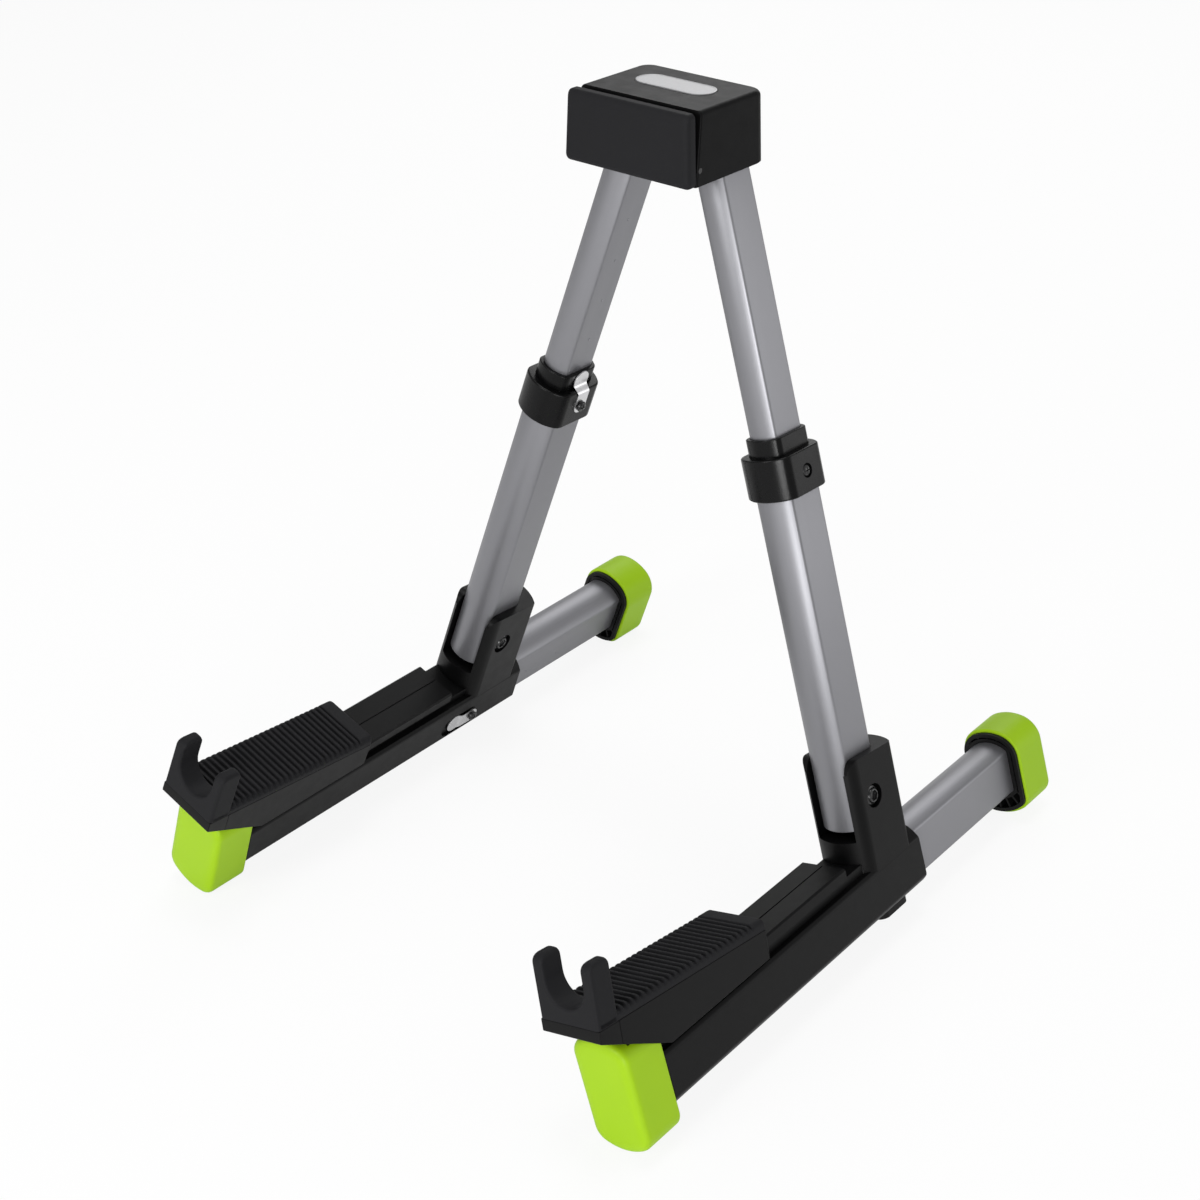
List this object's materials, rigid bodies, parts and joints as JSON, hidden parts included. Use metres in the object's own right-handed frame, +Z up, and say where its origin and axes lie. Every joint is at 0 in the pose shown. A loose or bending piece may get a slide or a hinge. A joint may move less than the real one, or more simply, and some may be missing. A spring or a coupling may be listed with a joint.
{
  "type": "guitar stand",
  "caption": "Folding A-frame guitar stand with telescopic legs, hinged base arms, sliding ribbed cradle pads with forks, lime rubber feet and a tilting pad on the head.",
  "frame": {"origin": "on the floor, at the middle of the stand's outline", "axes": "+Z up, -Y to the front, where the cradle forks are, and +X to the right of a viewer who looks at the front, where the right_ nodes are"},
  "size_m": [0.302, 0.3436, 0.3777],
  "materials": {
    "tube": "satin anodised",
    "moulding": "fine matt moulding",
    "housing": "satin moulding",
    "arm": "semi-gloss moulding",
    "inner": "plain moulding",
    "pad": "matt rubber",
    "foot": "soft matt rubber",
    "leaf": "bright sheet",
    "screw": "blackened",
    "pin": "plain",
    "badge": "bright satin"
  },
  "bodies": {
    "head": {"head_housing": "housing", "head_yoke": "inner", "head_yoke_screws": "pin", "head_badge": "badge", "leg_pins": "pin", "head_pad_pin": "pin"},
    "head_pad": {"head_pad_plate": "inner", "head_pad_cover": "pad"},
    "left_upper_leg": {"left_leg_knuckle": "inner", "left_upper_tube": "tube", "left_upper_guide": "inner"},
    "left_lower_leg": {"left_lower_tube": "tube", "left_collar": "moulding", "left_collar_bush": "moulding", "left_collar_screw": "screw", "left_collar_catch_screw": "screw", "left_hinge_plug": "inner"},
    "left_collar_leaf": {"left_collar_catch": "leaf"},
    "left_arm": {"left_base_arm": "arm", "left_hinge_barrel": "screw", "left_hinge_screw": "screw", "left_arm_bumper": "inner", "left_arm_catch_screw": "screw", "left_front_foot": "foot"},
    "left_arm_leaf": {"left_arm_catch": "leaf"},
    "left_rear_leg": {"left_rear_tube": "tube", "left_rear_guide": "inner", "left_rear_plug": "inner", "left_rear_foot": "foot"},
    "left_pad": {"left_pad_carriage": "arm", "left_pad_rubber": "pad"},
    "right_upper_leg": {"right_leg_knuckle": "inner", "right_upper_tube": "tube", "right_upper_guide": "inner"},
    "right_lower_leg": {"right_lower_tube": "tube", "right_collar": "moulding", "right_collar_bush": "moulding", "right_collar_screw": "screw", "right_collar_catch_screw": "screw", "right_hinge_plug": "inner"},
    "right_collar_leaf": {"right_collar_catch": "leaf"},
    "right_arm": {"right_base_arm": "arm", "right_hinge_barrel": "screw", "right_hinge_screw": "screw", "right_arm_bumper": "inner", "right_arm_catch_screw": "screw", "right_front_foot": "foot"},
    "right_arm_leaf": {"right_arm_catch": "leaf"},
    "right_rear_leg": {"right_rear_tube": "tube", "right_rear_guide": "inner", "right_rear_plug": "inner", "right_rear_foot": "foot"},
    "right_pad": {"right_pad_carriage": "arm", "right_pad_rubber": "pad"}
  },
  "joints": [
    {"name": "head_pad_tilt", "type": "hinge", "parent": "head", "child": "head_pad", "pos_m": [0, 0.01155, 0.35308], "axis": [-1, 0, 0], "range_deg": [0, 7]},
    {"name": "left_leg_spread", "type": "hinge", "parent": "head", "child": "left_upper_leg", "pos_m": [-0.0183, 0.04055, 0.36028], "axis": [0, -1, 0], "range_deg": [0, 18.5]},
    {"name": "left_leg_slide", "type": "slide", "parent": "left_upper_leg", "child": "left_lower_leg", "axis": [0.3171, 0.0349, 0.9477], "range_m": [0, 0.088]},
    {"name": "left_fold", "type": "hinge", "parent": "left_lower_leg", "child": "left_arm", "pos_m": [-0.11597, 0.0298, 0.06838], "axis": [0.9483, 0, -0.3173], "range_deg": [-86, 0]},
    {"name": "left_rear_slide", "type": "slide", "parent": "left_arm", "child": "left_rear_leg", "axis": [0, -1, 0], "range_m": [0, 0.088]},
    {"name": "left_pad_slide", "type": "slide", "parent": "left_arm", "child": "left_pad", "axis": [0, 1, 0], "range_m": [0, 0.06]},
    {"name": "left_collar_catch_lift", "type": "hinge", "parent": "left_lower_leg", "child": "left_collar_leaf", "pos_m": [-0.05413, 0.03519, 0.2105], "axis": [-0.0111, 0.9994, -0.0331], "range_deg": [0, 4], "stiffness_Nm_per_rad": 0.05, "springref_deg": -5.73},
    {"name": "left_arm_catch_lift", "type": "hinge", "parent": "left_arm", "child": "left_arm_leaf", "pos_m": [-0.11698, 0.0233, 0.01809], "axis": [0.3173, 0, 0.9483], "range_deg": [0, 4], "stiffness_Nm_per_rad": 0.05, "springref_deg": -5.73},
    {"name": "right_leg_spread", "type": "hinge", "parent": "head", "child": "right_upper_leg", "pos_m": [0.0183, 0.04055, 0.36028], "axis": [0, 1, 0], "range_deg": [0, 18.5]},
    {"name": "right_leg_slide", "type": "slide", "parent": "right_upper_leg", "child": "right_lower_leg", "axis": [-0.3171, 0.0349, 0.9477], "range_m": [0, 0.088]},
    {"name": "right_fold", "type": "hinge", "parent": "right_lower_leg", "child": "right_arm", "pos_m": [0.11597, 0.0298, 0.06838], "axis": [0.9483, 0, 0.3173], "range_deg": [-86, 0]},
    {"name": "right_rear_slide", "type": "slide", "parent": "right_arm", "child": "right_rear_leg", "axis": [0, -1, 0], "range_m": [0, 0.088]},
    {"name": "right_pad_slide", "type": "slide", "parent": "right_arm", "child": "right_pad", "axis": [0, 1, 0], "range_m": [0, 0.06]},
    {"name": "right_collar_catch_lift", "type": "hinge", "parent": "right_lower_leg", "child": "right_collar_leaf", "pos_m": [0.05413, 0.03519, 0.2105], "axis": [-0.0111, -0.9994, 0.0331], "range_deg": [0, 4], "stiffness_Nm_per_rad": 0.05, "springref_deg": -5.73},
    {"name": "right_arm_catch_lift", "type": "hinge", "parent": "right_arm", "child": "right_arm_leaf", "pos_m": [0.11698, 0.0233, 0.01809], "axis": [0.3173, 0, -0.9483], "range_deg": [0, 4], "stiffness_Nm_per_rad": 0.05, "springref_deg": -5.73}
  ]
}
